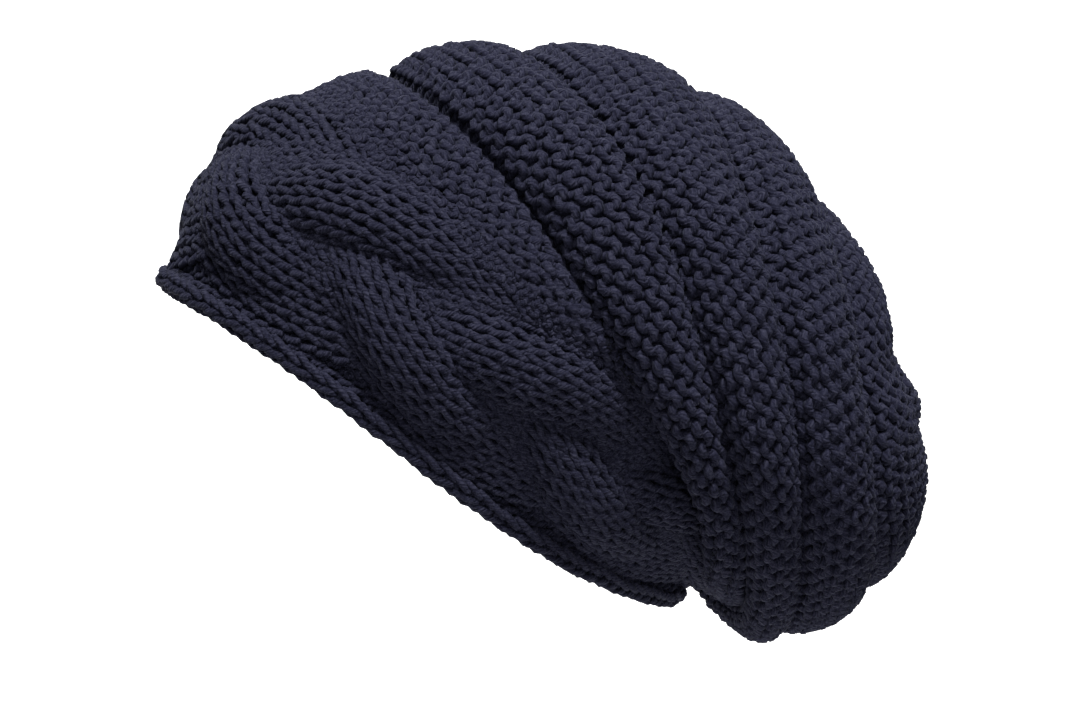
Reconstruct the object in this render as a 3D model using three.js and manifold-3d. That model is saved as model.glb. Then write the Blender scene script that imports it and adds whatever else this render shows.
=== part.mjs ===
// A slouchy hand-knitted beanie in the form it has when worn: a rolled brim, a plaited cable band
// and a welted crown that sags behind. Millimetres, +Z up, the front of the hat towards -Y, and the
// origin at the centre of the opening.
import * as THREE from "three";
import { mergeVertices } from "three/addons/utils/BufferGeometryUtils.js";
import Module from "manifold-3d";

// Outer sizes of the hat
const hatLength = 300;
const hatHeight = 230;
const hatWidth = 236;

// The opening for the head, an oval whose front stands higher than its back
const openingLength = 232;
const openingWidth = 176;
const openingTilt = 32.5;

// The knitted fabric
const fabricThickness = 7;
const rollDiameter = 9;
const rollDepth = 3;
const seamGap = 0.4;
const layerGap = 0.3;

// The cable plait: three strands, each a band of stocking stitch that rises over its neighbours
const strandCount = 3;
const strandCrossings = 8;
const strandHeight = 6.5;
const strandLift = 3.5;
const strandSpread = 0.25;
const strandHalfWidth = 0.25;
const strandStart = 0.1;
const edgeGutter = 2.5;
const gutterShare = 0.06;

// The welts of the crown
const weltRelief = 11;
const weltFullness = 0.75;

// How finely each piece is divided
const bandColumns = 144;
const bandRows = 12;
const bandLiningRows = 2;
const crownColumns = 64;
const collarRows = 2;
const weltRows = 5;
const weltLiningRows = 2;
const rollColumns = 64;
const rollSides = 8;

// Each section is an oval through a front and a back point, given from the centre of the opening as
// shares of the hat's length and height. side is half its width as a share of the hat's width. The
// last three bend the oval at its sides, as shares of the hat's height: drop lowers both sides,
// sway lifts their front half and lowers their back half, slide pushes them forwards.
const sections = [
  openingSection("opening", 0.022, 0.05, 0.017),
  section("band_middle", -0.257, 0.47, 0.39, -0.2, 0.424, 0.035, 0.035, 0.013),
  section("band_top", -0.123, 0.58, 0.407, -0.113, 0.453, 0.035, 0.009, 0.004),
  section("valley_1", -0.043, 0.607, 0.403, -0.205, 0.462, 0.013, 0.061, 0.004),
  section("valley_2", 0.12, 0.637, 0.407, -0.285, 0.466, -0.017, 0.052, 0.03),
  section("valley_3", 0.337, 0.576, 0.447, -0.337, 0.445, 0.013, 0, 0.026),
  section("valley_4", 0.477, 0.415, 0.547, -0.276, 0.36, 0.026, 0, -0.052),
  section("valley_5", 0.553, 0.272, 0.627, -0.037, 0.19, 0.012, 0, -0.009),
  section("crown_end", 0.6, 0.122, 0.6, 0.122, 0, 0, 0, 0),
];
const crownStart = 2;
const firstWelt = 3;
const crownEnd = sections.length - 1;

// How far each welt stands above the valleys beside it, as shares of weltRelief: on top of the hat,
// at its sides and underneath.
const welts = [
  { name: "welt_1", top: 0.55, side: 0.82, under: 1.2 },
  { name: "welt_2", top: 0.55, side: 0.82, under: 0.75 },
  { name: "welt_3", top: 0.64, side: 0.9, under: 0.65 },
  { name: "welt_4", top: 0.4, side: 0.65, under: 0.8 },
  { name: "welt_5", top: 0.36, side: 0.45, under: 0.45 },
];

// A section as lengths: its front and back points, half width and bends.
function section(name, frontY, frontZ, backY, backZ, side, drop, sway, slide) {
  return {
    name,
    front: new THREE.Vector3(0, frontY * hatLength, frontZ * hatHeight),
    back: new THREE.Vector3(0, backY * hatLength, backZ * hatHeight),
    side: side * hatWidth,
    drop: drop * hatHeight,
    sway: sway * hatHeight,
    slide: slide * hatHeight,
  };
}

// The section of the opening, which its own length, width and tilt set.
function openingSection(name, drop, sway, slide) {
  const tilt = THREE.MathUtils.degToRad(openingTilt);
  const reach = openingLength / 2;
  const front = new THREE.Vector3(0, -reach * Math.cos(tilt), reach * Math.sin(tilt));
  return {
    name,
    front,
    back: front.clone().negate(),
    side: openingWidth / 2,
    drop: drop * hatHeight,
    sway: sway * hatHeight,
    slide: slide * hatHeight,
  };
}

// A point of a section's oval. The angle runs from the front (0) over the +X side to the back (pi).
function sectionPoint(index, angle) {
  const { front, back, side, drop, sway, slide } = sections[index];
  const middle = front.clone().add(back).multiplyScalar(0.5);
  const half = front.clone().sub(back).multiplyScalar(0.5);
  const along = half.clone().normalize();
  const up = new THREE.Vector3(0, along.z, -along.y);
  const across = Math.sin(angle);
  const bend = across * across;
  return middle
    .addScaledVector(half, Math.cos(angle))
    .addScaledVector(up, (sway * Math.cos(angle) - drop) * bend)
    .addScaledVector(along, slide * bend)
    .add(new THREE.Vector3(side * across, 0, 0));
}

// A point of the smooth form through all the sections. A whole-numbered station is a section, and a
// fraction lies on the curve from one section to the next.
function formPoint(station, angle) {
  const start = THREE.MathUtils.clamp(Math.floor(station), 0, crownEnd - 1);
  const t = station - start;
  const a = sectionPoint(start, angle);
  const b = sectionPoint(start + 1, angle);
  const beyond = start + 2 > crownEnd;
  const before = start > 0 ? sectionPoint(start - 1, angle) : a.clone().multiplyScalar(2).sub(b);
  const after = beyond ? sectionPoint(start, angle + Math.PI) : sectionPoint(start + 2, angle);
  const startSlope = b.clone().sub(before).multiplyScalar(0.5);
  const endSlope = after.sub(a).multiplyScalar(0.5);
  return new THREE.Vector3()
    .addScaledVector(a, 2 * t ** 3 - 3 * t ** 2 + 1)
    .addScaledVector(startSlope, t ** 3 - 2 * t ** 2 + t)
    .addScaledVector(b, 3 * t ** 2 - 2 * t ** 3)
    .addScaledVector(endSlope, t ** 3 - t ** 2);
}

// The way out of the fabric at a point of the form.
function formNormal(station, angle) {
  const step = 0.02;
  const low = Math.max(station - step, 0);
  const high = Math.min(station + step, crownEnd - step);
  const onward = formPoint(high, angle).sub(formPoint(Math.min(low, high - step), angle));
  const round = formPoint(Math.min(station, crownEnd - step), angle + step);
  round.sub(formPoint(Math.min(station, crownEnd - step), angle - step));
  return round.cross(onward).normalize();
}

// How far a crown point stands above the form: nothing on the collar, and a rounded ridge from
// valley to valley on each welt.
function weltHeight(station, angle) {
  if (station < firstWelt) {
    return 0;
  }
  const index = Math.min(Math.floor(station) - firstWelt, welts.length - 1);
  const { top, side, under } = welts[index];
  const facing = Math.cos(angle);
  const blend = facing * facing;
  const share = side + ((facing > 0 ? top : under) - side) * blend;
  const across = Math.sin(Math.PI * (station - firstWelt - index));
  return weltRelief * share * Math.max(across, 0) ** weltFullness;
}

// The share of the way round the middle of the band at which each of its columns stands.
function wayRoundBand() {
  const lengths = [0];
  let last = formPoint(crownStart / 2, 0);
  for (let column = 1; column <= bandColumns; column += 1) {
    const next = formPoint(crownStart / 2, (2 * Math.PI * column) / bandColumns);
    lengths.push(lengths[column - 1] + next.distanceTo(last));
    last = next;
  }
  return lengths.map((length) => length / lengths[bandColumns]);
}

// How far a band point stands above the form: the highest of the three strands, or the gutter that
// runs along both edges. round and across are shares of the way round and of the band's height.
function plaitHeight(round, across) {
  let height = -edgeGutter;
  for (let strand = 0; strand < strandCount; strand += 1) {
    const turns = (round * strandCrossings) / strandCount + strandStart + strand / strandCount;
    const phase = 2 * Math.PI * turns;
    const offset = (across - 0.5 - strandSpread * Math.sin(phase)) / strandHalfWidth;
    if (Math.abs(offset) < 1) {
      const crown = strandHeight * Math.sqrt(1 - offset * offset);
      height = Math.max(height, crown - edgeGutter + strandLift * Math.sin(2 * phase));
    }
  }
  const edge = Math.min(across, 1 - across) / gutterShare;
  return THREE.MathUtils.lerp(-edgeGutter, height, THREE.MathUtils.smoothstep(edge, 0, 1));
}

// A closed mesh from rows of points. A row with one point closes that end, and otherwise the last
// row joins the first again, as round a ring.
function meshFromRows(rows, closedEnds) {
  const points = rows.flat();
  const starts = rows.map((row, index) => rows.slice(0, index).flat().length);
  const index = [];
  const count = closedEnds ? rows.length - 1 : rows.length;
  for (let row = 0; row < count; row += 1) {
    const next = (row + 1) % rows.length;
    const size = Math.max(rows[row].length, rows[next].length);
    for (let column = 0; column < size; column += 1) {
      const a = starts[row] + (column % rows[row].length);
      const b = starts[row] + ((column + 1) % rows[row].length);
      const c = starts[next] + ((column + 1) % rows[next].length);
      const d = starts[next] + (column % rows[next].length);
      if (a !== b) {
        index.push(a, b, c);
      }
      if (c !== d) {
        index.push(a, c, d);
      }
    }
  }
  const geometry = new THREE.BufferGeometry().setFromPoints(points);
  geometry.setIndex(index);
  return mergeVertices(geometry, 1e-4);
}

// A row of points round the form at a height above it. Where station is a function, it gives each
// angle its own station.
function rowOnForm(columns, station, height) {
  const row = [];
  for (let column = 0; column < columns; column += 1) {
    const angle = (2 * Math.PI * column) / columns;
    const at = typeof station === "function" ? station(angle) : station;
    const point = formPoint(at, angle);
    row.push(point.addScaledVector(formNormal(at, angle), height(at, angle, column)));
  }
  return row;
}

// The station that lies a length onward from a section, or before it where the length is negative.
function stationFrom(index, length) {
  return (angle) => {
    const neighbour = sectionPoint(length < 0 ? index - 1 : index + 1, angle);
    return index + length / neighbour.distanceTo(sectionPoint(index, angle));
  };
}

// The rolled edge: a round tube along the opening, a little under the face of the fabric.
function rolledBrim() {
  const rows = [];
  for (let column = 0; column < rollColumns; column += 1) {
    const angle = (2 * Math.PI * column) / rollColumns;
    const outward = formNormal(0, angle);
    const onward = formPoint(0.02, angle).sub(formPoint(0, angle)).normalize();
    const centre = formPoint(0, angle).addScaledVector(outward, -rollDepth);
    const row = [];
    for (let side = 0; side < rollSides; side += 1) {
      const turn = (-2 * Math.PI * side) / rollSides;
      const radius = rollDiameter / 2;
      row.push(
        centre
          .clone()
          .addScaledVector(outward, radius * Math.cos(turn))
          .addScaledVector(onward, radius * Math.sin(turn)),
      );
    }
    rows.push(row);
  }
  return meshFromRows(rows, false);
}

// The band: the plait outside, a smooth lining face inside, from the roll to the crown. A clearance
// above zero gives the band with that much room round it.
function cableBand(clearance) {
  const share = wayRoundBand();
  const lower = stationFrom(0, rollDiameter / 2 + seamGap - clearance);
  const upper = stationFrom(crownStart, clearance - seamGap / 2);
  const between = (part) => (angle) => THREE.MathUtils.lerp(lower(angle), upper(angle), part);
  const rows = [];
  for (let row = 0; row <= bandRows; row += 1) {
    const across = row / bandRows;
    const height = (at, angle, column) => plaitHeight(share[column], across) + clearance;
    rows.push(rowOnForm(bandColumns, between(across), height));
  }
  for (let row = bandLiningRows; row >= 0; row -= 1) {
    const height = () => -fabricThickness - clearance;
    rows.push(rowOnForm(bandColumns, between(row / bandLiningRows), height));
  }
  return meshFromRows(rows, false);
}

// The crown: a flat collar, then the welts, closed at the end where the last stitches are drawn
// together. The lining face follows the same ridges a fabric's thickness further in.
function slouchCrown() {
  const start = stationFrom(crownStart, seamGap / 2);
  const between = (part) => (angle) => THREE.MathUtils.lerp(start(angle), firstWelt, part);
  const outerHeight = (at, angle) => weltHeight(at, angle);
  const innerHeight = (at, angle) => weltHeight(at, angle) - fabricThickness;
  const tip = (height) => {
    const out = formNormal(crownEnd, 0).add(formNormal(crownEnd, Math.PI)).normalize();
    return [formPoint(crownEnd, 0).addScaledVector(out, height)];
  };
  const outer = [];
  const inner = [];
  for (let row = 0; row < collarRows; row += 1) {
    outer.push(rowOnForm(crownColumns, between(row / collarRows), outerHeight));
    inner.push(rowOnForm(crownColumns, between(row / collarRows), innerHeight));
  }
  for (let welt = 0; welt < welts.length; welt += 1) {
    for (let row = 0; row < weltRows; row += 1) {
      outer.push(rowOnForm(crownColumns, firstWelt + welt + row / weltRows, outerHeight));
    }
    for (let row = 0; row < weltLiningRows; row += 1) {
      inner.push(rowOnForm(crownColumns, firstWelt + welt + row / weltLiningRows, innerHeight));
    }
  }
  outer.push(tip(0));
  inner.push(tip(-fabricThickness));
  return meshFromRows([...inner.reverse(), ...outer], true);
}

// The crown less the space that the band takes, so that the first welt lies on the band.
const wasm = await Module();
wasm.setup();

function solidFrom(geometry) {
  const vertProperties = geometry.getAttribute("position").array;
  const triVerts = new Uint32Array(geometry.getIndex().array);
  return new wasm.Manifold(new wasm.Mesh({ numProp: 3, vertProperties, triVerts }));
}

function crownClearOfBand() {
  const cut = solidFrom(slouchCrown()).subtract(solidFrom(cableBand(layerGap)));
  const largest = cut.decompose().sort((a, b) => b.volume() - a.volume())[0];
  const mesh = largest.getMesh();
  const geometry = new THREE.BufferGeometry();
  geometry.setAttribute("position", new THREE.BufferAttribute(mesh.vertProperties, mesh.numProp));
  geometry.setIndex(new THREE.BufferAttribute(mesh.triVerts, 1));
  return geometry;
}

// Heathered navy wool, a little lighter where the crown stretches it
const bandWool = new THREE.MeshStandardMaterial({ color: 0x25263a, roughness: 0.95, metalness: 0 });
const crownWool = new THREE.MeshStandardMaterial({ color: 0x292a3c, roughness: 0.95, metalness: 0 });

function piece(name, geometry, material) {
  geometry.computeVertexNormals();
  const mesh = new THREE.Mesh(geometry, material);
  mesh.name = name;
  return mesh;
}

const beanie = new THREE.Group();
beanie.add(piece("rolled_brim", rolledBrim(), bandWool));
beanie.add(piece("cable_band", cableBand(0), bandWool));
beanie.add(piece("slouch_crown", crownClearOfBand(), crownWool));

export default beanie;
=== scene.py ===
import bpy
import numpy as np
from mathutils import Matrix


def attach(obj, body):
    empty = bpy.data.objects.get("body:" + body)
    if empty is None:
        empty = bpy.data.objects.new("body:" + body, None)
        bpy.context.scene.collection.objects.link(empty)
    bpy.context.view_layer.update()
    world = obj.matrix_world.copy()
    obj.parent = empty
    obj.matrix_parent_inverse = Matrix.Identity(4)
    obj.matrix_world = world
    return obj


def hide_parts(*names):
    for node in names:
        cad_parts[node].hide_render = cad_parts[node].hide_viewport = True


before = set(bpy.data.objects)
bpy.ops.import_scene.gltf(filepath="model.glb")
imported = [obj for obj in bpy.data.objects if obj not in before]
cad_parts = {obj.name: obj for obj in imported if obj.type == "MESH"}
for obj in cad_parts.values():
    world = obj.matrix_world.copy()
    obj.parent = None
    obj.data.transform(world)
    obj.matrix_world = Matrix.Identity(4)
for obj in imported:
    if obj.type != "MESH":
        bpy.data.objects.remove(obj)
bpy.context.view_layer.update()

# The picture: a pale paper floor that sweeps up into a wall behind the hat, soft studio light from
# above and in front, and a camera at the hat's left side, a little ahead of it and a little above.
CAMERA_AZIMUTH = np.radians(80)
CAMERA_ELEVATION = np.radians(5)
CAMERA_DISTANCE = 0.969
LENS = 85
AIM_RIGHT = 0.0441
AIM_UP = 0.0291
FLOOR_HEIGHT = -0.8
FLOOR_AHEAD = 3.0
SWEEP_START = 1.6
SWEEP_RADIUS = 0.8
WALL_TOP = 4.0
PAPER_HALF_WIDTH = 4
PAPER_COLOUR = (0.7, 0.7, 0.7, 1)
PAPER_GLOW = 1.1
STUDIO_LIGHT = 0.13


def picture_axes():
    """The camera's way back, right and up from its azimuth and elevation, each of length one."""
    back = np.array([np.sin(CAMERA_AZIMUTH) * np.cos(CAMERA_ELEVATION),
                     -np.cos(CAMERA_AZIMUTH) * np.cos(CAMERA_ELEVATION),
                     np.sin(CAMERA_ELEVATION)])
    right = np.array([np.cos(CAMERA_AZIMUTH), np.sin(CAMERA_AZIMUTH), 0])
    return back, right, np.cross(back, right)


def set_up(name, data, axes, place):
    """A camera or a light, whose matrix has its way right, up and back and its place as columns."""
    item = bpy.data.objects.new(name, data)
    columns = np.column_stack([*axes, place])
    item.matrix_world = Matrix(np.vstack([columns, [0, 0, 0, 1]]).tolist())
    bpy.context.collection.objects.link(item)
    return item


def add_camera():
    """A camera at a distance back from the point that the middle of the picture shows."""
    back, right, up = picture_axes()
    place = AIM_RIGHT * right + AIM_UP * up + CAMERA_DISTANCE * back
    camera = set_up("camera", bpy.data.cameras.new("camera"), (right, up, back), place)
    camera.data.lens = LENS
    bpy.context.scene.camera = camera


def add_softbox(name, place, aim, size, watts):
    """A square area light. Its place and the point that it faces are each given as how far to the
    right of the hat, above it and ahead of it towards the camera they lie."""
    right = picture_axes()[1]
    axes = np.array([right, [0, 0, 1], np.cross(right, [0, 0, 1])])
    place = np.array(place) @ axes
    toward = place - np.array(aim) @ axes
    toward /= np.linalg.norm(toward)
    across = np.cross([0, 0, 1], toward)
    across /= np.linalg.norm(across)
    up = np.cross(toward, across)
    light = set_up(name, bpy.data.lights.new(name, "AREA"), (across, up, toward), place)
    light.data.size = size
    light.data.energy = watts


def glow_for_camera(tree, glow, light):
    """A strength that is the light given off in all directions, plus a glow that only the camera
    sees and that casts nothing on the hat."""
    seen = tree.nodes.new("ShaderNodeLightPath")
    strength = tree.nodes.new("ShaderNodeMath")
    strength.operation = "MULTIPLY_ADD"
    strength.inputs[1].default_value = glow
    strength.inputs[2].default_value = light
    tree.links.new(seen.outputs["Is Camera Ray"], strength.inputs[0])
    return strength.outputs["Value"]


def add_backdrop():
    """A strip of paper behind and under the hat: a flat stretch, a quarter circle and an upright,
    pale to look at where the lights don't reach."""
    turn = np.linspace(0, np.pi / 2, 12)
    reach = np.concatenate([[-FLOOR_AHEAD], SWEEP_START + SWEEP_RADIUS * np.sin(turn),
                            [SWEEP_START + SWEEP_RADIUS]])
    rise = np.concatenate([[0.0], SWEEP_RADIUS - SWEEP_RADIUS * np.cos(turn), [WALL_TOP]])
    back, right, _ = picture_axes()
    level = np.array([-back[0], -back[1], 0]) / np.hypot(back[0], back[1])
    line = reach[:, None] * level + rise[:, None] * np.array([0, 0, 1]) + [0, 0, FLOOR_HEIGHT]
    points = np.concatenate([line - PAPER_HALF_WIDTH * right, line + PAPER_HALF_WIDTH * right])
    index = np.arange(len(line) - 1)
    faces = np.column_stack([index, index + len(line), index + len(line) + 1, index + 1])
    mesh = bpy.data.meshes.new("backdrop")
    mesh.from_pydata(points.tolist(), [], faces.tolist())
    mesh.shade_smooth()
    backdrop = bpy.data.objects.new("backdrop", mesh)
    paper = bpy.data.materials.new("paper")
    paper.use_nodes = True
    shader = paper.node_tree.nodes["Principled BSDF"]
    shader.inputs["Base Color"].default_value = PAPER_COLOUR
    shader.inputs["Roughness"].default_value = 0.9
    shader.inputs["Emission Color"].default_value = PAPER_COLOUR
    paper.node_tree.links.new(glow_for_camera(paper.node_tree, PAPER_GLOW, 0),
                              shader.inputs["Emission Strength"])
    mesh.materials.append(paper)
    bpy.context.collection.objects.link(backdrop)


def add_studio():
    """The world round the paper: as pale to look at, and dim as a light."""
    studio = bpy.data.worlds.new("studio")
    studio.use_nodes = True
    background = studio.node_tree.nodes["Background"]
    background.inputs["Color"].default_value = PAPER_COLOUR
    studio.node_tree.links.new(glow_for_camera(studio.node_tree, PAPER_GLOW, STUDIO_LIGHT),
                               background.inputs["Strength"])
    bpy.context.scene.world = studio


add_camera()
add_backdrop()
add_softbox("key", place=(0.2, 1.8, 0.95), aim=(0, 0, 0), size=0.4, watts=52)
add_softbox("fill", place=(0.2, 0.8, 1.8), aim=(0, 0, 0), size=0.9, watts=5)
add_softbox("background", place=(0, 1.3, -0.9), aim=(0, 0.1, -2.2), size=1.6, watts=80)
add_studio()
bpy.context.scene.view_settings.view_transform = "Standard"


# The rolled brim: the edge of the knitting curls up by itself into a thin roll, with its chains of
# stitches running along it. It is the same plied wool as the band, worked in one with it.

# The form that the whole hat follows
HAT_LENGTH, HAT_HEIGHT, HAT_WIDTH = 0.300, 0.230, 0.236
OPENING_LENGTH, OPENING_WIDTH, OPENING_TILT = 0.232, 0.176, np.radians(32.5)
SECTIONS = [
    # shares of the hat's sizes: front y, z and back y, z, half width, drop, sway, slide
    (-0.5, 0, 0.5, 0, 0.5, 0.022, 0.05, 0.017),
    (-0.257, 0.47, 0.39, -0.2, 0.424, 0.035, 0.035, 0.013),
    (-0.123, 0.58, 0.407, -0.113, 0.453, 0.035, 0.009, 0.004),
    (-0.043, 0.607, 0.403, -0.205, 0.462, 0.013, 0.061, 0.004),
    (0.12, 0.637, 0.407, -0.285, 0.466, -0.017, 0.052, 0.03),
    (0.337, 0.576, 0.447, -0.337, 0.445, 0.013, 0, 0.026),
    (0.477, 0.415, 0.547, -0.276, 0.36, 0.026, 0, -0.052),
    (0.553, 0.272, 0.627, -0.037, 0.19, 0.012, 0, -0.009),
    (0.6, 0.122, 0.6, 0.122, 0, 0, 0, 0),
]
CROWN_END = len(SECTIONS) - 1
GIRTH_STEPS = 720

# The roll, and how many radii of its yarn the lines of its stitches and its core lie under its face
ROLL_DIAMETER = 0.009
ROLL_DEPTH = 0.003
ROLL_YARN = 0.00135
ROLL_SEAT = 0.9
ROLL_CHAINS = 3
ROLL_COURSES = 116
EDGE_STEP = 0.03
CORE_SEAT = 2.2
CORE_COLUMNS, CORE_SIDES = 200, 6

# The stitches, whose drifts are shares of a stitch and of a course, and a depth
KNIT_FACE, PURL_FACE = 1, -1
POINT_BUNCHING = 0.2
DRIFT_ALONG, DRIFT_ACROSS, DRIFT_DEPTH = 0.1, 0.1, 0.0004
YARN_START = 10
# The place round a yarn where its painted shade is darkest, which the sheets take so they are
# painted in shade
DARKEST_PAINTED_SHADE_PLACE = (0, 0.75)

# The wool, with how much its spots and fibres count in its relief and in its colour
PLIES, PLY_LENGTH, PLY_RELIEF = 4, 0.0017, 0.00008
SPOT_SCALE, SPOT_DETAIL, SPOT_RELIEF, SPOT_SHARE = 1500, 3, 1.2, 0.4
FIBRE_SCALE, FIBRE_DETAIL, FIBRE_RELIEF, FIBRE_SHARE = 400, 2, 2.4, 0.6
FIBRES_A_PLY = 2.6
# How much painted light on the yarn's crest and painted shade on its sides and underside move its
# colour
CREST_PAINTED_LIGHT_AND_SHADE = 0.1
DARK_PLACE, MIDDLE_PLACE, LIGHT_PLACE = 0.39, 0.55, 0.75


def section_table():
    """The sections as lengths: shares times the hat's length, height and width, and the first one
    from the opening's own sizes."""
    shares = np.array(SECTIONS)
    middle = np.zeros(len(shares))
    front = np.column_stack([middle, shares[:, 0] * HAT_LENGTH, shares[:, 1] * HAT_HEIGHT])
    back = np.column_stack([middle, shares[:, 2] * HAT_LENGTH, shares[:, 3] * HAT_HEIGHT])
    reach = OPENING_LENGTH / 2
    front[0] = [0, -reach * np.cos(OPENING_TILT), reach * np.sin(OPENING_TILT)]
    back[0] = -front[0]
    side = shares[:, 4] * HAT_WIDTH
    side[0] = OPENING_WIDTH / 2
    return front, back, side, shares[:, 5:] * HAT_HEIGHT


FRONT, BACK, SIDE, BENDS = section_table()


def section_point(index, angle):
    """A point of a section's oval: its middle, plus half its length times the cosine of the angle,
    plus half its width times the sine, plus the bends times the sine squared. The angle runs from
    the front over the hat's left side to the back."""
    front, back = FRONT[index], BACK[index]
    drop, sway, slide = np.moveaxis(BENDS[index], -1, 0)
    half = (front - back) / 2
    length = np.linalg.norm(half, axis=-1)
    along = half / np.maximum(length, 1e-9)[..., None]
    up = np.stack([along[..., 0] * 0, along[..., 2], -along[..., 1]], -1)
    cosine, sine = np.cos(angle), np.sin(angle)
    bend = sine ** 2
    point = (front + back) / 2 + half * cosine[..., None]
    point += up * ((sway * cosine - drop) * bend)[..., None] + along * (slide * bend)[..., None]
    point[..., 0] += SIDE[index] * sine
    return point


def form_point(station, angle):
    """The smooth form through all sections: at each angle a cubic from one section to the next,
    whose slope at a section is half the way from the section before it to the one after. A whole
    station is a section."""
    station, angle = np.broadcast_arrays(np.asarray(station, float), np.asarray(angle, float))
    start = np.clip(np.floor(station), 0, CROWN_END - 1).astype(int)
    t = (station - start)[..., None]
    a, b = section_point(start, angle), section_point(start + 1, angle)
    before = section_point(np.maximum(start - 1, 0), angle)
    before = np.where((start > 0)[..., None], before, 2 * a - b)
    after = section_point(np.minimum(start + 2, CROWN_END), angle)
    last = start + 2 > CROWN_END
    after = np.where(last[..., None], section_point(start, angle + np.pi), after)
    slope_a, slope_b = (b - before) / 2, (after - a) / 2
    return ((2 * t ** 3 - 3 * t ** 2 + 1) * a + (t ** 3 - 2 * t ** 2 + t) * slope_a
            + (3 * t ** 2 - 2 * t ** 3) * b + (t ** 3 - t ** 2) * slope_b)


def unit(vectors):
    """The vectors divided by their lengths."""
    return vectors / np.maximum(np.linalg.norm(vectors, axis=-1, keepdims=True), 1e-12)


def form_normal(station, angle):
    """The way out of the fabric: the form's slope round the hat crossed with its slope from the
    opening to the end."""
    step = 0.02
    station = np.clip(station, step, CROWN_END - step)
    onward = form_point(station + step, angle) - form_point(station - step, angle)
    beside = form_point(station, angle + step) - form_point(station, angle - step)
    return unit(np.cross(beside, onward))


def walk_round_band():
    """How far round the hat each angle is, as a share of the girth along the middle of the band,
    and that girth."""
    angle = np.linspace(0, 2 * np.pi, GIRTH_STEPS + 1)
    length = np.linalg.norm(np.diff(form_point(1.0, angle), axis=0), axis=1)
    walked = np.concatenate([[0], np.cumsum(length)])
    return angle, walked / walked[-1], walked[-1]


WALK_ANGLE, WALK_SHARE, BAND_GIRTH = walk_round_band()


def band_angle(share):
    """The angle at a share of the girth, going round and round."""
    turns = np.floor(share)
    return np.interp(share - turns, WALK_SHARE, WALK_ANGLE) + 2 * np.pi * turns


def uneven(courses, stitches, steps, seed):
    """Numbers between -1 and 1 that drift smoothly from stitch to stitch: a random value at each
    stitch, and between two of them a mix by half a cosine."""
    values = np.random.default_rng(seed).uniform(-1, 1, (courses, stitches))
    part = (1 - np.cos(np.pi * np.arange(steps) / steps)) / 2
    mixed = values[:, :, None] * (1 - part) + np.roll(values, -1, 1)[:, :, None] * part
    return mixed.reshape(courses, -1)


def knit_courses(courses, stitches, steps, face, swing, reach, depth, seed):
    """Courses of knitting as lines, with more points at the heads and feet of the stitches: along a
    course the line runs on one stitch a turn and swings by the sine of twice the turn, across it is
    minus a cosine, and in depth a cosine of twice the turn, with the legs in front on the knit face
    and the heads and feet in front on the purl face. Hand knitting is uneven, so all three drift a
    little."""
    turn = 2 * np.pi * np.arange(stitches * steps) / steps
    turn = turn - POINT_BUNCHING * np.sin(2 * turn)
    drift = [uneven(courses, stitches, steps, seed + part) for part in range(3)]
    along = turn / (2 * np.pi) + swing * np.sin(2 * turn) + DRIFT_ALONG * drift[0]
    across = np.arange(courses)[:, None] - reach * np.cos(turn) + DRIFT_ACROSS * drift[1]
    return along, across, -face * depth * np.cos(2 * turn) + DRIFT_DEPTH * drift[2]


def laid_on(surface, along, across, depth, facing=1):
    """A line at (along, across) on a surface and depth above it, and the way out there: the
    surface's slope along the course crossed with its slope across it, or the other way about where
    facing is -1."""
    step = 0.02
    slope_along = surface(along + step, across) - surface(along - step, across)
    slope_across = surface(along, across + step) - surface(along, across - step)
    out = unit(np.cross(slope_along, slope_across)) * facing
    return surface(along, across) + out * depth[..., None], out


def yarn_tubes(centres, outs, radius, closed, sides):
    """Tubes round lines of centres. Each centre carries a ring: the centre plus the radius times
    the cosine of a turn sideways and its sine outwards. Gives the points, the faces and each face's
    places along and round the yarn, where each yarn starts at a length of its own, a multiple of
    its first centre's height."""
    if closed:
        tangent = unit(np.roll(centres, -1, 1) - np.roll(centres, 1, 1))
    else:
        tangent = unit(np.gradient(centres, axis=1))
    sideways = unit(np.cross(outs, tangent))
    upward = np.cross(tangent, sideways)
    turn = 2 * np.pi * np.arange(sides) / sides
    ring = np.cos(turn)[:, None] * sideways[:, :, None] + np.sin(turn)[:, None] * upward[:, :, None]
    rings = centres[:, :, None] + radius * ring

    tubes, length = centres.shape[:2]
    spans = length if closed else length - 1
    tube, span, side = np.meshgrid(np.arange(tubes), np.arange(spans), np.arange(sides),
                                   indexing="ij")
    here = (tube * length + span) * sides
    there = (tube * length + (span + 1) % length) * sides
    beside = (side + 1) % sides
    faces = np.stack([here + side, here + beside, there + beside, there + side], -1).reshape(-1, 4)

    walked = np.linalg.norm(np.diff(centres, axis=1, append=centres[:, :1]), axis=-1)
    walked = np.concatenate([np.zeros((tubes, 1)), np.cumsum(walked, 1)], 1)
    walked = walked + YARN_START * centres[:, :1, 2]
    near, far = walked[tube, span], walked[tube, span + 1]
    along = np.stack([near, near, far, far], -1)
    round_yarn = np.stack([side, side + 1, side + 1, side], -1) / sides
    places = np.stack([along, round_yarn], -1).reshape(-1, 4, 2)
    if not closed:
        first = np.arange(tubes)[:, None] * length * sides
        last = first + (length - 1) * sides
        for side in range(1, sides - 2, 2):
            fan = np.array([0, side, side + 1, side + 2])
            faces = np.concatenate([faces, first + fan[[0, 3, 2, 1]], last + fan])
        places = np.concatenate([places, np.zeros((len(faces) - len(places), 4, 2))])
    return rings.reshape(-1, 3), faces, places


def add_piece(name, node, slot, material, points, faces, places):
    """A mesh with its places on the yarn as its UV map, as a piece that replaces a node."""
    mesh = bpy.data.meshes.new(name)
    mesh.from_pydata(points, [], faces)
    mesh.uv_layers.new(name="yarn").data.foreach_set("uv", places.reshape(-1))
    mesh.shade_smooth()
    mesh.materials.append(material)
    piece = bpy.data.objects.new(name, mesh)
    bpy.context.collection.objects.link(piece)
    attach(piece, "root")
    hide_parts(node)


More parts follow.
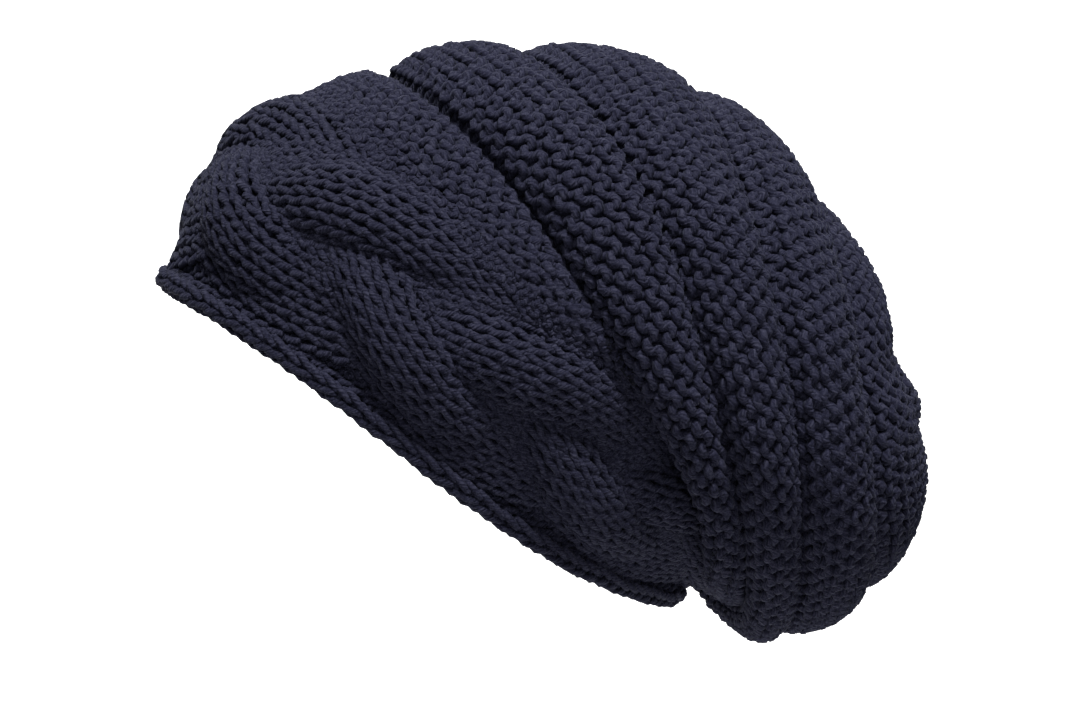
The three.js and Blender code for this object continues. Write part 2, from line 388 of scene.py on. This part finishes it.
def yarn_piece(name, node, slot, material, strips, radius, closed=True, sides=6):
    """One piece of all the yarn tubes in some strips, each strip its lines of centres and their
    ways out."""
    points, faces, places, count = [], [], [], 0
    for centres, outs in strips:
        ring_points, ring_faces, place = yarn_tubes(centres, outs, radius, closed, sides)
        points.append(ring_points)
        faces.append(ring_faces + count)
        places.append(place)
        count += len(ring_points)
    add_piece(name, node, slot, material, *map(np.concatenate, (points, faces, places)))


def sheet(name, node, slot, material, rows, poles=()):
    """A closed piece from rows of points round the hat, painted as dark as a yarn's shaded
    underside. Without poles the last row joins the first, and with two of them the first and the
    last row close in a fan on one each."""
    count, columns = rows.shape[:2]
    spans = count - 1 if len(poles) else count
    row, column = np.meshgrid(np.arange(spans), np.arange(columns), indexing="ij")
    here, there = row * columns, (row + 1) % count * columns
    beside = (column + 1) % columns
    faces = np.stack([here + column, here + beside, there + beside, there + column], -1)
    faces = faces.reshape(-1, 4).tolist()
    points = rows.reshape(-1, 3).tolist()
    if len(poles):
        points += [list(pole) for pole in poles]
        first, last = np.arange(columns), np.arange(columns) + (count - 1) * columns
        fans = [np.stack([np.full(columns, len(points) - 2), np.roll(first, -1), first], -1),
                np.stack([np.full(columns, len(points) - 1), last, np.roll(last, -1)], -1)]
        faces += np.concatenate(fans).tolist()
    # Every face sits at the yarn's darkest painted shade, so the sheet is painted as shade between
    # the stitches
    places = np.tile(DARKEST_PAINTED_SHADE_PLACE, sum(map(len, faces)))
    add_piece(name, node, slot, material, points, faces, places)


def wool(name, dark, middle, light):
    """Plied, heathered wool. The plies wind round the yarn: their height is the sine of a turn for
    each ply's length along the yarn plus as many turns as there are plies round it. Two noises mix
    dark and light fibres and roughen the height: spots, and fibres stretched along the plies. The
    sine of the turn round the yarn paints light onto its crest and paints shade onto its sides and
    underside, where it is pressed between other yarns."""
    material = bpy.data.materials.new(name)
    material.use_nodes = True
    nodes, links = material.node_tree.nodes, material.node_tree.links
    shader = nodes["Principled BSDF"]
    shader.inputs["Roughness"].default_value = 0.9
    shader.inputs["Specular IOR Level"].default_value = 0.12
    shader.inputs["Sheen Weight"].default_value = 0.05
    shader.inputs["Sheen Roughness"].default_value = 0.5
    shader.inputs["Sheen Tint"].default_value = (0.55, 0.6, 0.9, 1)
    place = nodes.new("ShaderNodeUVMap")
    place.uv_map = "yarn"

    def on_yarn(along, around):
        """The places along and round the yarn, each times its factor, added up."""
        node = nodes.new("ShaderNodeVectorMath")
        node.operation = "DOT_PRODUCT"
        node.inputs[1].default_value = (along, around, 0)
        links.new(place.outputs["UV"], node.inputs[0])
        return node.outputs["Value"]

    def combined(operation, *values):
        """A Math node on its values, each a socket or a number."""
        node = nodes.new("ShaderNodeMath")
        node.operation = operation
        for socket, value in zip(node.inputs, values):
            if isinstance(value, (int, float)):
                socket.default_value = value
            else:
                links.new(value, socket)
        return node.outputs["Value"]

    def noise(vector, scale, detail):
        """A noise texture's value."""
        node = nodes.new("ShaderNodeTexNoise")
        node.inputs["Scale"].default_value = scale
        node.inputs["Detail"].default_value = detail
        links.new(vector, node.inputs["Vector"])
        return node.outputs["Fac"]

    spots = noise(nodes.new("ShaderNodeTexCoord").outputs["Object"], SPOT_SCALE, SPOT_DETAIL)
    lines = nodes.new("ShaderNodeCombineXYZ")
    links.new(on_yarn(FIBRE_SCALE, 0), lines.inputs["X"])
    links.new(on_yarn(FIBRES_A_PLY / PLY_LENGTH, FIBRES_A_PLY * PLIES), lines.inputs["Y"])
    fibres = noise(lines.outputs["Vector"], 1, FIBRE_DETAIL)

    rough = combined("MULTIPLY_ADD", fibres, FIBRE_RELIEF, combined("MULTIPLY", spots, SPOT_RELIEF))
    winding = combined("SINE", on_yarn(2 * np.pi / PLY_LENGTH, 2 * np.pi * PLIES))
    bump = nodes.new("ShaderNodeBump")
    bump.inputs["Distance"].default_value = PLY_RELIEF
    bump.inputs["Strength"].default_value = 1.0
    links.new(combined("ADD", rough, winding), bump.inputs["Height"])
    links.new(bump.outputs["Normal"], shader.inputs["Normal"])

    fleck = combined("MULTIPLY_ADD", fibres, FIBRE_SHARE, combined("MULTIPLY", spots, SPOT_SHARE))
    # Painted light on the yarn's crest and painted shade on its sides and underside, by the sine
    # round it
    painted_crest_and_shade = combined("SINE", on_yarn(0, 2 * np.pi))
    tone = nodes.new("ShaderNodeValToRGB")
    tone.color_ramp.elements[0].position = DARK_PLACE
    tone.color_ramp.elements[0].color = (*dark, 1)
    tone.color_ramp.elements.new(MIDDLE_PLACE).color = (*middle, 1)
    tone.color_ramp.elements[2].position = LIGHT_PLACE
    tone.color_ramp.elements[2].color = (*light, 1)
    links.new(combined("MULTIPLY_ADD", painted_crest_and_shade, CREST_PAINTED_LIGHT_AND_SHADE, fleck), tone.inputs["Fac"])
    links.new(tone.outputs["Color"], shader.inputs["Base Color"])
    return material


band_wool = wool("band_wool", dark=(0.0016, 0.0017, 0.0038), middle=(0.0135, 0.0140, 0.0310),
                 light=(0.044, 0.045, 0.074))


def roll_axis(angle):
    """The roll's centre line, a little under the form's edge, with the way out and up the hat."""
    out = form_normal(0.0, angle)
    onward = unit(form_point(EDGE_STEP, angle) - form_point(0.0, angle))
    return form_point(0.0, angle) - out * ROLL_DEPTH, out, onward


def roll_surface(along, across):
    """The roll: its centre line plus its radius less the seat of its yarn, turned round by as many
    chains as along says."""
    centre, out, onward = roll_axis(band_angle(across / ROLL_COURSES))
    turn = -2 * np.pi * along / ROLL_CHAINS
    radius = ROLL_DIAMETER / 2 - ROLL_SEAT * ROLL_YARN
    return centre + radius * (out * np.cos(turn)[..., None] + onward * np.sin(turn)[..., None])


def rolled_brim():
    """The roll's courses: closed rings of knit stitches round it, one after another along the
    edge."""
    along, across, depth = knit_courses(ROLL_COURSES, ROLL_CHAINS, steps=12, face=KNIT_FACE,
                                        swing=0.24, reach=0.95, depth=0.0010, seed=1)
    strips = [laid_on(roll_surface, along, across, depth)]
    yarn_piece("brim_roll", "rolled_brim", "band_wool", band_wool, strips, ROLL_YARN)


def roll_core():
    """The middle of the roll, a plain tube along its centre line that closes the holes between
    stitches."""
    centre, out, onward = roll_axis(band_angle(np.arange(CORE_COLUMNS) / CORE_COLUMNS))
    radius = ROLL_DIAMETER / 2 - CORE_SEAT * ROLL_YARN
    turns = 2 * np.pi * np.arange(CORE_SIDES) / CORE_SIDES
    rows = [centre + radius * (out * np.cos(turn) + onward * np.sin(turn)) for turn in turns]
    sheet("brim_core", "rolled_brim", "band_wool", band_wool, np.array(rows))


rolled_brim()
roll_core()


# The cable band: a plait of three wide strands of stocking stitch, each five chains across, that
# pass over and under one another. It is knitted sideways in chunky wool.
BAND_TOP = 2
BAND_YARN = 0.00155
SEAM_GAP = 0.0004
CROWN_GAP = 0.01  # stations
STRANDS = 3
STRAND_CROSSINGS = 8
STRAND_CHAINS = 5
STRAND_COURSES = 116
STRAND_START = 0.1
STRAND_SPREAD = 0.27
STRAND_HALF_WIDTH = 0.22
STRAND_HEIGHT = 0.012
STRAND_SINK = 0.0096
STRAND_LIFT = 0.0054
STRAND_FLOOR = -0.0028
STRAND_SEAT = 1.6  # radii of the yarn
FRONT_PRESS = 0.0028
COVERED_WIDTH, COVERED_DEPTH = 0.85, 0.003


def stretch(index, angle):
    """The straight way at an angle from one section to the next."""
    way = form_point(index + 1.0, angle) - form_point(float(index), angle)
    return np.linalg.norm(way, axis=-1)


def band_station(angle, across):
    """The station at a share of the band's height, from just past the roll to just before the
    crown."""
    low = (ROLL_DIAMETER / 2 + SEAM_GAP) / stretch(0, angle)
    return low + (BAND_TOP - CROWN_GAP - low) * across


def strand_phase(share, strand):
    """How far a strand is through its weave: three crossings are one full turn."""
    return 2 * np.pi * (share * STRAND_CROSSINGS / STRANDS + STRAND_START + strand / STRANDS)


def strand_middle(phase):
    """The share of the band's height at a strand's middle line, which swings by a sine."""
    return 0.5 + STRAND_SPREAD * np.sin(phase)


def strand_height(phase, offset):
    """A strand's rise: round across its width, as the root of one less the square of the place
    across, from a sunken base, and up and down by the sine of twice the phase."""
    dome = STRAND_HEIGHT * np.sqrt(np.maximum(1 - offset ** 2, 0))
    return dome - STRAND_SINK + STRAND_LIFT * np.sin(2 * phase)


def pressed(angle):
    """How far the plait is pressed in at the front of the hat: a depth times the cosine of the
    angle to the sixth power."""
    return FRONT_PRESS * np.maximum(np.cos(angle), 0) ** 6


def strand_place(strand, along, across):
    """Share of the girth, share of the band's height and phase of a strand's point, which lies
    square to its middle line, and how far across the strand it is."""
    middle = across / STRAND_COURSES
    phase = strand_phase(middle, strand)
    angle = band_angle(middle)
    tall = stretch(0, angle) + stretch(1, angle)
    turning = 2 * np.pi * STRAND_CROSSINGS / STRANDS / BAND_GIRTH
    slope = np.arctan(STRAND_SPREAD * tall * np.cos(phase) * turning)
    offset = 2 * along / STRAND_CHAINS - 1
    reach = offset * STRAND_HALF_WIDTH
    share = middle - reach * tall * np.sin(slope) / BAND_GIRTH
    return share, strand_middle(phase) + reach * np.cos(slope), phase, offset


def strand_surface(strand):
    """The surface that a strand's stitches lie on: the form at the strand's place, raised by its
    height less the seat of the yarn and the press at the front, and never below a floor in the
    fabric."""
    def surface(along, across):
        """The point at a place along a course, in chains, and at a course along the strand."""
        share, height_share, phase, offset = strand_place(strand, along, across)
        angle = band_angle(share)
        station = band_station(angle, height_share)
        rise = strand_height(phase, offset) - STRAND_SEAT * BAND_YARN - pressed(angle)
        rise = np.maximum(rise, STRAND_FLOOR)
        return form_point(station, angle) + form_normal(station, angle) * rise[..., None]
    return surface


def hidden_courses(strand, course):
    """Which courses lie wholly under another strand: at five places across, another strand stands
    well above."""
    along = np.linspace(0.5, STRAND_CHAINS - 0.5, 5)[None] + 0 * course[:, None]
    across = course[:, None] + 0 * along
    share, height_share, phase, offset = strand_place(strand, along, across)
    own = strand_height(phase, offset)
    covered = np.zeros(own.shape, bool)
    for other in set(range(STRANDS)) - {strand}:
        other_phase = strand_phase(share, other)
        gap = (height_share - strand_middle(other_phase)) / STRAND_HALF_WIDTH
        above = strand_height(other_phase, gap) > own + COVERED_DEPTH
        covered |= (np.abs(gap) < COVERED_WIDTH) & above
    return covered.all(1)


def plait_strand(strand):
    """One strand: its courses run across it, five stitches each and a little over the edge at both
    ends, and follow one another along it. Hidden ones are left out. Gives their lines for the
    fuzz."""
    steps, tuck = 10, 3
    lines = knit_courses(STRAND_COURSES, STRAND_CHAINS + 2, steps, face=KNIT_FACE, swing=0.25,
                         reach=0.9, depth=0.0011, seed=10 + 3 * strand)
    shown = ~hidden_courses(strand, np.arange(STRAND_COURSES) * 1.0)
    kept = slice(steps - tuck, steps * (STRAND_CHAINS + 1) + tuck + 1)
    along, across, depth = (values[shown][:, kept] for values in lines)
    strips = [laid_on(strand_surface(strand), along - 1, across, depth, facing=-1)]
    yarn_piece("plait_strand_%d" % (strand + 1), "cable_band", "band_wool", band_wool, strips,
               BAND_YARN, closed=False)
    return strips


plait_yarn = [strip for strand in range(STRANDS) for strip in plait_strand(strand)]


# The gutters: two columns of purl stitches between the plait and each edge of the band, in the same
# wool and worked in one with the plait. They draw in, so they lie sunk below it.
GUTTER_COLUMNS = 2
GUTTER_SHARE = 0.13
GUTTER_YARN = 0.0014


def gutter_surface(first, sink):
    """A strip of the band from a share of its height, sunk by a depth and the yarn's radius."""
    def surface(along, across):
        """The point at a column of the strip and at a course round the hat."""
        angle = band_angle(across / ROLL_COURSES)
        station = band_station(angle, first + GUTTER_SHARE * along / GUTTER_COLUMNS)
        return form_point(station, angle) - form_normal(station, angle) * (sink + GUTTER_YARN)
    return surface


def gutter(name, first, sink, seed):
    """Courses of purl stitches across the strip."""
    steps = 10
    lines = knit_courses(ROLL_COURSES, GUTTER_COLUMNS + 1, steps, face=PURL_FACE, swing=0.2,
                         reach=0.85, depth=0.0008, seed=seed)
    along, across, depth = (values[:, :steps * GUTTER_COLUMNS + 1] for values in lines)
    strips = [laid_on(gutter_surface(first, sink), along, across, depth, facing=-1)]
    yarn_piece(name, "cable_band", "band_wool", band_wool, strips, GUTTER_YARN, closed=False)


gutter("lower_gutter", first=0.0, sink=0.003, seed=30)
gutter("upper_gutter", first=1 - GUTTER_SHARE, sink=0.0005, seed=40)


# The backing of the band: the fabric under the plait, seen between its strands and inside the hat.
# It is the same wool, worked in one with the strands.
FABRIC_THICKNESS = 0.007
BACKING_COLUMNS, BACKING_ROWS = 280, 25
INSIDE_STRIDE = 4
BACKING_LOW, BACKING_HIGH = -0.05, 1.03
BACKING_SEAT = 2.4  # radii of the yarn
BACKING_INSET = 0.0020


def band_backing():
    """Rows up the outside at the plait's own height less the seat of its yarn, and down the inside
    at a little less than the fabric's thickness."""
    share = np.arange(BACKING_COLUMNS) / BACKING_COLUMNS
    angle = band_angle(share)
    across = np.linspace(BACKING_LOW, BACKING_HIGH, BACKING_ROWS)
    rows = []
    for part in across:
        height = np.full(share.shape, -STRAND_SINK)
        for strand in range(STRANDS):
            phase = strand_phase(share, strand)
            offset = (part - strand_middle(phase)) / STRAND_HALF_WIDTH
            raised = np.maximum(height, strand_height(phase, offset))
            height = np.where(np.abs(offset) < 1, raised, height)
        height = height - BACKING_SEAT * BAND_YARN - pressed(angle)
        height = np.maximum(height, STRAND_FLOOR - BAND_YARN)
        station = band_station(angle, part)
        rows.append(form_point(station, angle) + form_normal(station, angle) * height[:, None])
    for part in across[::-INSIDE_STRIDE]:
        station = band_station(angle, part)
        inset = form_normal(station, angle) * (FABRIC_THICKNESS - BACKING_INSET)
        rows.append(form_point(station, angle) - inset)
    sheet("band_backing", "cable_band", "band_wool", band_wool, np.array(rows))


band_backing()


# The inside of the band: the purl side of the same knitting, whose courses run up the band. The
# plait stands out on the other side only, so the fabric is flat here.
LINING_STITCHES = 13
LINING_YARN = 0.0013
LINING_LOW, LINING_SPAN = 0.03, 0.94
LINING_INSET = 0.0018


def lining_surface(along, across):
    """The band's inner face, at a little less than the fabric's thickness."""
    angle = band_angle(across / STRAND_COURSES)
    station = band_station(angle, LINING_LOW + LINING_SPAN * along / LINING_STITCHES)
    inset = form_normal(station, angle) * (FABRIC_THICKNESS - LINING_INSET)
    return form_point(station, angle) - inset


def lining():
    """Courses up the band with their legs on its outer side, so the inside shows heads and feet."""
    along, across, depth = knit_courses(STRAND_COURSES, LINING_STITCHES, steps=8, face=KNIT_FACE,
                                        swing=0.15, reach=0.8, depth=0.0008, seed=45)
    strips = [laid_on(lining_surface, along, across, depth, facing=-1)]
    yarn_piece("band_lining", "cable_band", "band_wool", band_wool, strips, LINING_YARN,
               closed=False, sides=4)


lining()


# The crown: knitted in rounds of reverse stocking stitch in the same wool. A flat collar follows
# the band, then five welts, which stand out because the rounds between them are drawn in.
CROWN_YARN = 0.0019
CROWN_DEPTH = 0.0029
FIRST_WELT = 3
COLLAR_ROUNDS = [94] * 5
COLLAR_TUCK = 0.1  # stations
COLLAR_DIP = 0.3  # stations
WELT_RELIEF = 0.011
WELT_FULLNESS = 0.75
WELT_VALLEY = 0.0045
WELT_SPAN = 0.999
WELT_OVERRUN = 0.06
WELTS = [
    # relief on top, at the sides and underneath, and the stitches in each round
    (0.38, 0.82, 1.2, [94] * 7),
    (0.47, 0.82, 0.75, [94] * 8),
    (0.58, 0.9, 0.22, [88] * 9),
    (0.4, 0.65, 0.75, [72] * 9),
    (0.36, 0.45, 0.45, [46, 40, 34, 28, 22, 16, 10]),
]
WELT_WAVES = [
    # share of the relief, waves round the hat and shift from welt to welt
    (0.10, 3, 2),
    (0.07, 8, 5),
]
CREASE_DEPTH, CREASE_HEIGHT, CREASE_WIDTH = 0.006, 0.029, 0.011
CREASE_START, CREASE_BLEND = 0.12, 0.06
FABRIC_COLUMNS, FABRIC_STATIONS, FABRIC_PARTS = 120, 80, 60
CORE_TUCK = 0.05  # stations
CORE_OUTER, CORE_INNER = 0.0003, 0.0010
COLLAR_ROWS, WELT_ROWS = 5, 14
crown_wool = wool("crown_wool", dark=(0.0016, 0.0017, 0.0038), middle=(0.0143, 0.0148, 0.0325),
                  light=(0.046, 0.047, 0.077))


def welt_rise(station, angle):
    """How far the crown stands above the form. On a welt it is a sine from valley to valley to the
    power of its fullness, times the relief there, which swells and shrinks a little by two sines of
    the angle, less a sharp valley. The collar is flat and dips into the first valley at its end."""
    index = np.clip(np.floor(station).astype(int) - FIRST_WELT, 0, len(WELTS) - 1)
    top, side, under = np.moveaxis(np.array([welt[:3] for welt in WELTS])[index], -1, 0)
    facing = np.cos(angle)
    share = side + (np.where(facing > 0, top, under) - side) * facing ** 2
    across = np.clip(station - FIRST_WELT - index, -WELT_OVERRUN, 1 + WELT_OVERRUN)
    wave = np.sin(np.pi * across)
    rise = WELT_RELIEF * share * np.sign(wave) * np.abs(wave) ** WELT_FULLNESS
    swell = sum(part * np.sin(waves * angle + shift * index) for part, waves, shift in WELT_WAVES)
    rise *= 1 + swell
    rise -= WELT_VALLEY * (1 - np.abs(wave)) ** 3
    dip = WELT_VALLEY * np.clip(station - FIRST_WELT + COLLAR_DIP, 0, COLLAR_DIP) / COLLAR_DIP
    return np.where(station < FIRST_WELT, -dip, rise)


def crown_point(station, angle):
    """A point of the crown's fabric: the form at a station, raised by the welt there and sunk by
    the depth of the yarn. Behind, a crease draws it in by a bell curve of the height."""
    rise = welt_rise(station, angle) - CROWN_DEPTH
    point = form_point(station, angle) + form_normal(station, angle) * rise[..., None]
    behind = np.clip((point[..., 1] - CREASE_START) / CREASE_BLEND, 0, 1)
    bell = np.exp(-((point[..., 2] - CREASE_HEIGHT) / CREASE_WIDTH) ** 2)
    point[..., 1] -= CREASE_DEPTH * behind * bell
    return point


def fabric_surface(first, last, courses):
    """The crown's fabric between two stations as a surface in turns round the hat and courses
    across. At each angle the courses split the fabric's own length evenly, by a table of stations
    that is read in straight lines from place to place."""
    angles = 2 * np.pi * np.arange(FABRIC_COLUMNS + 1) / FABRIC_COLUMNS
    stations = np.linspace(first, last, FABRIC_STATIONS + 1)
    points = crown_point(*np.meshgrid(stations, angles, indexing="ij"))
    walked = np.cumsum(np.linalg.norm(np.diff(points, axis=0), axis=-1), 0)
    walked = np.concatenate([np.zeros((1, len(angles))), walked]) / walked[-1]
    parts = np.linspace(0, 1, FABRIC_PARTS + 1)
    table = np.stack([np.interp(parts, column, stations) for column in walked.T], 1)

    def surface(turns, across):
        """The crown's point at a share of a turn and at the station that the table has there."""
        part = np.clip((across + 0.5) / courses, 0, 1) * FABRIC_PARTS
        column = (turns % 1) * FABRIC_COLUMNS
        row = np.minimum(part.astype(int), FABRIC_PARTS - 1)
        left = np.minimum(column.astype(int), FABRIC_COLUMNS - 1)
        down, right = part - row, column - left
        upper = table[row, left] * (1 - right) + table[row, left + 1] * right
        lower = table[row + 1, left] * (1 - right) + table[row + 1, left + 1] * right
        return crown_point(upper * (1 - down) + lower * down, 2 * np.pi * turns)
    return surface


def rounds(name, first, last, counts, seed):
    """Closed rounds of purl stitches, one for each count, that fill the fabric between two
    stations. Gives their lines for the fuzz."""
    fabric = fabric_surface(first, last, len(counts))
    strips = []
    for course, stitches in enumerate(counts):
        along, across, depth = knit_courses(1, stitches, steps=10, face=PURL_FACE, swing=0.16,
                                            reach=0.8, depth=0.0013, seed=seed + 7 * course)
        strips.append(laid_on(lambda x, y: fabric(x / stitches, y + course), along, across, depth))
    yarn_piece(name, "slouch_crown", "crown_wool", crown_wool, strips, CROWN_YARN)
    return strips


def crown_core():
    """The felted middle of the fabric, which closes the holes between stitches: rows on its inner
    side from the end to the collar, and rows on its outer side back to the end."""
    turns = np.arange(FABRIC_COLUMNS) / FABRIC_COLUMNS
    spans = [(BAND_TOP - CORE_TUCK, FIRST_WELT, COLLAR_ROWS)]
    spans += [(start, start + WELT_SPAN, WELT_ROWS) for start in range(FIRST_WELT, CROWN_END)]
    middle = np.array([fabric_surface(first, last, rows)(turns, np.full(FABRIC_COLUMNS, float(row)))
                       for first, last, rows in spans for row in range(rows)])
    beside = np.roll(middle, -1, 1) - np.roll(middle, 1, 1)
    out = unit(np.cross(beside, np.gradient(middle, axis=0)))
    outer, inner = middle - CORE_OUTER * out, middle - CORE_INNER * out
    tip = middle[-1].mean(0)
    ahead = unit(tip - middle[-3].mean(0))
    poles = tip - CORE_INNER * ahead, tip - CORE_OUTER * ahead
    sheet("crown_core", "slouch_crown", "crown_wool", crown_wool,
          np.concatenate([inner[::-1], outer]), poles)


crown_yarn = rounds("collar", BAND_TOP - COLLAR_TUCK, FIRST_WELT, COLLAR_ROUNDS, seed=50)
for index, welt in enumerate(WELTS):
    start = FIRST_WELT + index
    crown_yarn += rounds("welt_%d" % (index + 1), start, start + WELT_SPAN, welt[3],
                         seed=100 + 100 * index)
crown_core()


# The fuzz: loose fibre ends of the same wool, which stand out from the yarn by a few millimetres.
# Spinning leaves them loose, so they lean and bend at random.
FUZZ_RADIUS = 0.00005
FUZZ_LENGTHS = 0.0015, 0.0045
FUZZ_LEAN, FUZZ_BEND = 0.75, 0.5
FUZZ_SEAT = 0.8  # radii of the yarn


def fuzz(name, node, slot, material, strips, yarn, count, seed):
    """Fibres from random places on the yarn's outer side, each a line of three points that leans
    off at random and bends."""
    chance = np.random.default_rng(seed)
    centres = np.concatenate([strip[0].reshape(-1, 3) for strip in strips])
    outs = np.concatenate([strip[1].reshape(-1, 3) for strip in strips])
    place = chance.integers(0, len(centres), count)
    lean = unit(outs[place] + FUZZ_LEAN * chance.normal(size=(count, 3)))
    bend = chance.normal(size=(count, 3)) * FUZZ_BEND
    length = chance.uniform(*FUZZ_LENGTHS, count)[:, None]
    root = centres[place] + outs[place] * yarn * FUZZ_SEAT
    lines = np.stack([root, root + lean * length / 2, root + unit(lean + bend) * length], 1)
    ways = np.broadcast_to(unit(np.cross(lean, [0.3, 0.5, 0.8]))[:, None], lines.shape)
    yarn_piece(name, node, slot, material, [(lines, ways)], FUZZ_RADIUS, closed=False, sides=4)


fuzz("crown_fuzz", "slouch_crown", "crown_wool", crown_wool, crown_yarn, CROWN_YARN, 2600, 71)
fuzz("band_fuzz", "cable_band", "band_wool", band_wool, plait_yarn, BAND_YARN, 1400, 72)
